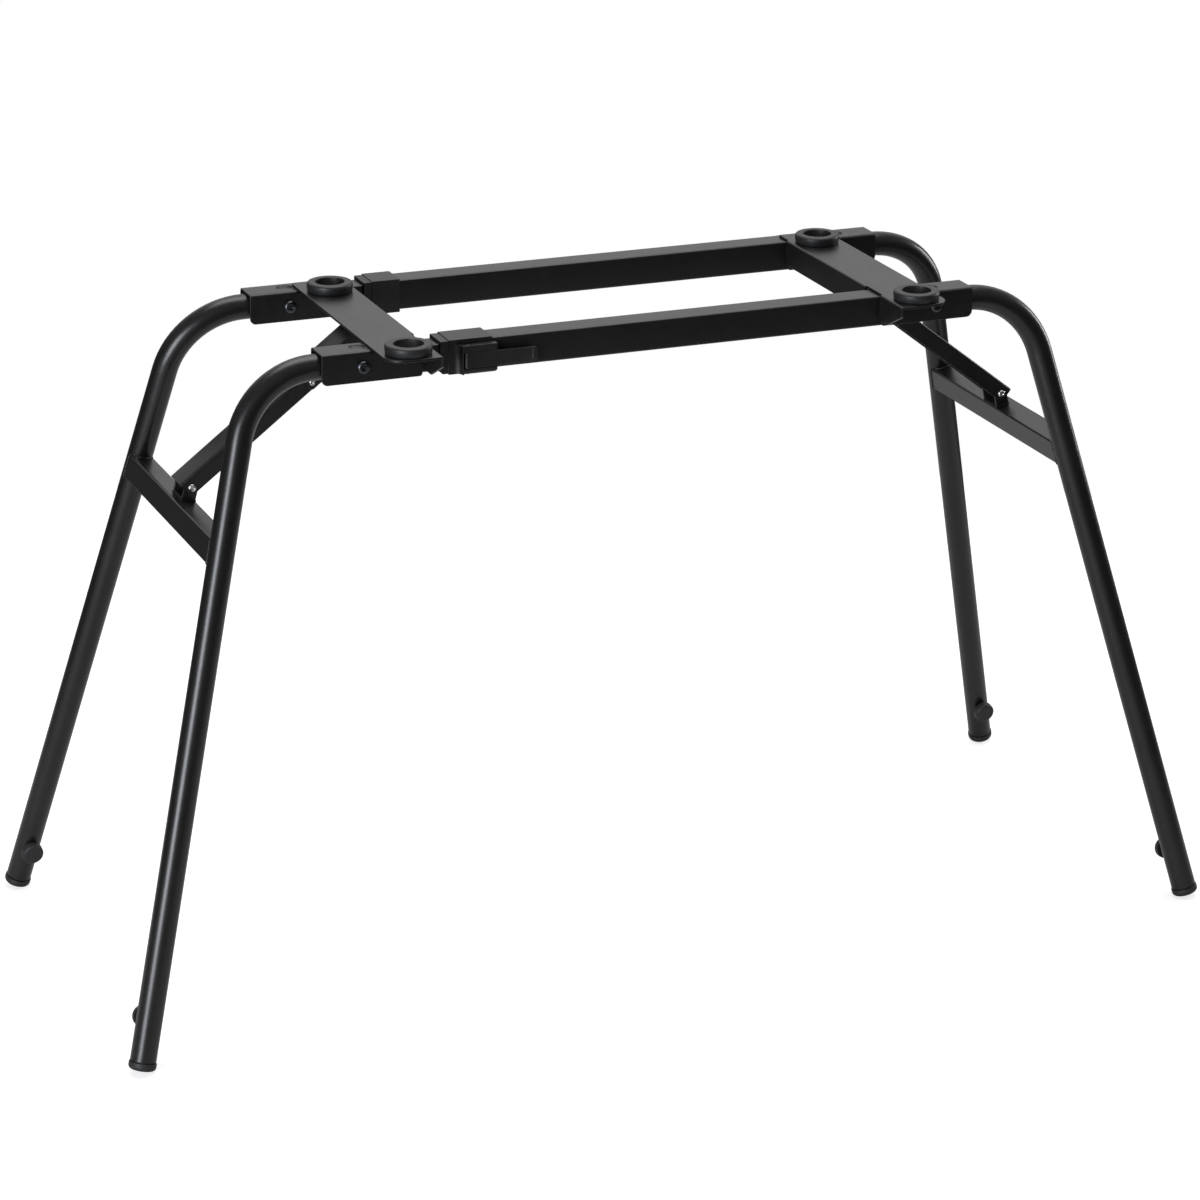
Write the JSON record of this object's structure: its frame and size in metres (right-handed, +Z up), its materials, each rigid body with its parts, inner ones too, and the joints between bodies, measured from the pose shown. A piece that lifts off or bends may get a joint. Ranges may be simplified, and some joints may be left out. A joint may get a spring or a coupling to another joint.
{
  "type": "keyboard stand",
  "caption": "Folding keyboard stand: telescoping square rails on splayed round-tube legs, each pair held open by a folding brace, with ring pads and a cam clamp lever.",
  "frame": {"origin": "on the floor under the middle of the stand as it stands open at its narrow width", "axes": "+X to the right along the keyboard, +Y towards the back, +Z up"},
  "size_m": [1.1468, 0.4866, 0.66],
  "materials": {
    "black_rail_coat": "satin black powder coat on square tube",
    "black_tube_coat": "satin black powder coat on round tube and crossbars",
    "black_sheet_coat": "satin black powder coat on folded sheet steel",
    "pad_rubber": "matt dark grey moulded rubber",
    "cap_rubber": "matt black rubber",
    "collar_plastic": "fine textured black plastic",
    "lever_plastic": "smooth satin black plastic",
    "black_bolt_steel": "black oxide bolts with worn rims",
    "plain_steel": "plain turned steel",
    "zinc_rivets": "bright zinc plated heads"
  },
  "bodies": {
    "main_frame": {"collar_front": "collar_plastic", "collar_rear": "collar_plastic", "lever_pin": "plain_steel", "outer_rail_front": "black_rail_coat", "outer_rail_rear": "black_rail_coat", "right_bracket_front": "black_sheet_coat", "right_bracket_rear": "black_sheet_coat", "right_cross_plate": "black_sheet_coat", "right_hanger": "black_sheet_coat", "right_hanger_pin": "zinc_rivets", "right_pad_front": "pad_rubber", "right_pad_rear": "pad_rubber", "right_pivot_bolts": "black_bolt_steel", "right_pivot_nuts": "black_bolt_steel"},
    "left_frame": {"inner_rail_front": "black_rail_coat", "inner_rail_plugs": "collar_plastic", "inner_rail_rear": "black_rail_coat", "left_bracket_front": "black_sheet_coat", "left_bracket_rear": "black_sheet_coat", "left_cross_plate": "black_sheet_coat", "left_hanger": "black_sheet_coat", "left_hanger_pin": "zinc_rivets", "left_pad_front": "pad_rubber", "left_pad_rear": "pad_rubber", "left_pivot_bolts": "black_bolt_steel", "left_pivot_nuts": "black_bolt_steel", "rail_sleeve_front": "black_rail_coat", "rail_sleeve_rear": "black_rail_coat"},
    "cam_lever": {"cam_lever": "lever_plastic"},
    "left_legs": {"left_bumper_front": "cap_rubber", "left_bumper_rear": "cap_rubber", "left_clevis": "black_sheet_coat", "left_clevis_pin": "zinc_rivets", "left_crossbar": "black_tube_coat", "left_foot_cap_front": "cap_rubber", "left_foot_cap_rear": "cap_rubber", "left_leg_front": "black_tube_coat", "left_leg_rear": "black_tube_coat", "left_pivot_bushings": "plain_steel"},
    "left_upper_link": {"left_knee_rivets": "zinc_rivets", "left_upper_link": "black_sheet_coat"},
    "left_lower_link": {"left_lower_link": "black_sheet_coat"},
    "right_legs": {"right_bumper_front": "cap_rubber", "right_bumper_rear": "cap_rubber", "right_clevis": "black_sheet_coat", "right_clevis_pin": "zinc_rivets", "right_crossbar": "black_tube_coat", "right_foot_cap_front": "cap_rubber", "right_foot_cap_rear": "cap_rubber", "right_leg_front": "black_tube_coat", "right_leg_rear": "black_tube_coat", "right_pivot_bushings": "plain_steel"},
    "right_upper_link": {"right_knee_rivets": "zinc_rivets", "right_upper_link": "black_sheet_coat"},
    "right_lower_link": {"right_lower_link": "black_sheet_coat"}
  },
  "joints": [
    {"name": "width_slide", "type": "slide", "parent": "main_frame", "child": "left_frame", "axis": [-1, 0, 0], "range_m": [0, 0.2]},
    {"name": "left_leg_fold", "type": "hinge", "parent": "left_frame", "child": "left_legs", "pos_m": [-0.298, 0, 0.633], "axis": [0, -1, 0], "range_deg": [0, 104]},
    {"name": "left_upper_link_turn", "type": "hinge", "parent": "left_frame", "child": "left_upper_link", "pos_m": [-0.259, 0, 0.6305], "axis": [0, -1, 0], "range_deg": [0, 33.4]},
    {"name": "left_lower_link_turn", "type": "hinge", "parent": "left_legs", "child": "left_lower_link", "pos_m": [-0.4343, 0, 0.49637], "axis": [0, -1, 0], "range_deg": [0, 26.4]},
    {"name": "right_leg_fold", "type": "hinge", "parent": "main_frame", "child": "right_legs", "pos_m": [0.298, 0, 0.633], "axis": [0, 1, 0], "range_deg": [0, 97]},
    {"name": "right_upper_link_turn", "type": "hinge", "parent": "main_frame", "child": "right_upper_link", "pos_m": [0.259, 0, 0.6305], "axis": [0, 1, 0], "range_deg": [0, 27.3]},
    {"name": "right_lower_link_turn", "type": "hinge", "parent": "right_legs", "child": "right_lower_link", "pos_m": [0.4343, 0, 0.49637], "axis": [0, 1, 0], "range_deg": [0, 24.7]},
    {"name": "lever_release", "type": "hinge", "parent": "main_frame", "child": "cam_lever", "pos_m": [-0.1958, -0.12895, 0.63045], "axis": [0, 0, -1], "range_deg": [0, 100]}
  ],
  "couplings": [
    {"joint": "left_upper_link_turn", "follows": "left_leg_fold", "ratio": 0.32047},
    {"joint": "left_lower_link_turn", "follows": "left_leg_fold", "ratio": 0.25344},
    {"joint": "right_upper_link_turn", "follows": "right_leg_fold", "ratio": 0.2807},
    {"joint": "right_lower_link_turn", "follows": "right_leg_fold", "ratio": 0.25412}
  ]
}
